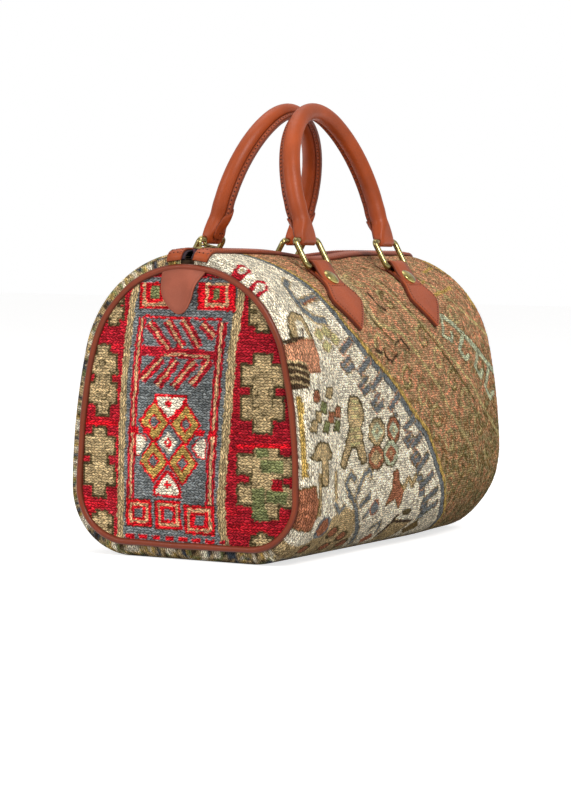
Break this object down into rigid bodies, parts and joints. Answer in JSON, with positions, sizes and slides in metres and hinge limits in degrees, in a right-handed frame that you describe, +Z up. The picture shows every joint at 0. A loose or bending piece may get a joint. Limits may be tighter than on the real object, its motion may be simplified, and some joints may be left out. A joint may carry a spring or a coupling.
{
  "type": "carpet bag",
  "caption": "Rounded carpet weekend bag with D-shaped end panels, leather piping, a zip along the top and rolled leather handles on brass rings.",
  "frame": {"origin": "bottom centre of the flat base", "axes": "+X along the zip towards the open end, the end seen in the picture is -X, -Y is the front seen in the picture, +Z up"},
  "size_m": [0.348, 0.1988, 0.3333],
  "materials": {
    "carpet_ground": "woven wool",
    "tan_yarn": "woven wool",
    "crimson_carpet": "woven wool",
    "slate_yarn": "woven wool",
    "khaki_yarn": "woven wool",
    "cream_yarn": "woven wool",
    "scarlet_yarn": "woven wool",
    "ochre_yarn": "woven wool",
    "olive_yarn": "woven wool",
    "mint_yarn": "woven wool",
    "rust_yarn": "woven wool",
    "tan_leather": "smooth tanned",
    "cord": "twisted",
    "lining_cotton": "plain cotton",
    "board": "matt",
    "zip_tape": "woven tape",
    "zip_teeth": "moulded",
    "antique_brass": "antique, polished"
  },
  "bodies": {
    "bag": {"base_board": "board", "carpet_wrap": "carpet_ground", "end_cream_yarn": "cream_yarn", "end_khaki_yarn": "khaki_yarn", "end_ochre_yarn": "ochre_yarn", "end_olive_yarn": "olive_yarn", "end_scarlet_yarn": "scarlet_yarn", "end_slate_yarn": "slate_yarn", "far_end_panel": "crimson_carpet", "far_end_tab": "tan_leather", "far_piping": "tan_leather", "front_left_chape": "tan_leather", "front_right_chape": "tan_leather", "front_zip_binding": "tan_leather", "front_zip_tape": "zip_tape", "front_zip_teeth": "zip_teeth", "lining": "lining_cotton", "near_end_panel": "crimson_carpet", "near_end_tab": "tan_leather", "near_piping": "tan_leather", "rear_left_chape": "tan_leather", "rear_right_chape": "tan_leather", "rear_zip_binding": "tan_leather", "rear_zip_tape": "zip_tape", "rear_zip_teeth": "zip_teeth", "rivet_washers": "antique_brass", "rivets": "antique_brass", "wrap_khaki_yarn": "khaki_yarn", "wrap_mint_yarn": "mint_yarn", "wrap_ochre_yarn": "ochre_yarn", "wrap_olive_yarn": "olive_yarn", "wrap_rust_yarn": "rust_yarn", "wrap_scarlet_yarn": "scarlet_yarn", "wrap_slate_yarn": "slate_yarn", "wrap_tan_yarn": "tan_yarn", "zip_bottom_stop": "antique_brass", "zip_top_stops": "antique_brass"},
    "front_handle": {"front_handle": "tan_leather", "front_handle_core": "cord"},
    "front_left_ring": {"front_left_ring": "antique_brass"},
    "front_right_ring": {"front_right_ring": "antique_brass"},
    "rear_handle": {"rear_handle": "tan_leather", "rear_handle_core": "cord"},
    "rear_left_ring": {"rear_left_ring": "antique_brass"},
    "rear_right_ring": {"rear_right_ring": "antique_brass"},
    "zip_pull": {"zip_pull": "antique_brass"},
    "zip_slider": {"zip_slider": "antique_brass"}
  },
  "joints": [
    {"name": "front_left_ring_tilt", "type": "hinge", "parent": "bag", "child": "front_left_ring", "pos_m": [-0.067, -0.05, 0.21026], "axis": [1, 0, 0], "range_deg": [0, 100]},
    {"name": "front_right_ring_tilt", "type": "hinge", "parent": "bag", "child": "front_right_ring", "pos_m": [0.067, -0.05, 0.21026], "axis": [1, 0, 0], "range_deg": [0, 100]},
    {"name": "front_handle_swing", "type": "hinge", "parent": "front_left_ring", "child": "front_handle", "pos_m": [-0.067, -0.03933, 0.2295], "axis": [1, 0, 0], "range_deg": [0, 56]},
    {"name": "rear_left_ring_tilt", "type": "hinge", "parent": "bag", "child": "rear_left_ring", "pos_m": [-0.067, 0.05, 0.21026], "axis": [-1, 0, 0], "range_deg": [0, 100]},
    {"name": "rear_right_ring_tilt", "type": "hinge", "parent": "bag", "child": "rear_right_ring", "pos_m": [0.067, 0.05, 0.21026], "axis": [-1, 0, 0], "range_deg": [0, 100]},
    {"name": "rear_handle_swing", "type": "hinge", "parent": "rear_left_ring", "child": "rear_handle", "pos_m": [-0.067, 0.03933, 0.2295], "axis": [-1, 0, 0], "range_deg": [0, 56]},
    {"name": "zip_slide", "type": "slide", "parent": "bag", "child": "zip_slider", "axis": [1, 0, 0], "range_m": [0, 0.302]},
    {"name": "zip_pull_flip", "type": "hinge", "parent": "zip_slider", "child": "zip_pull", "pos_m": [-0.15135, 0, 0.22498], "axis": [0, -1, 0], "range_deg": [0, 165]}
  ],
  "couplings": [
    {"joint": "front_right_ring_tilt", "follows": "front_left_ring_tilt", "ratio": 1},
    {"joint": "rear_right_ring_tilt", "follows": "rear_left_ring_tilt", "ratio": 1}
  ]
}
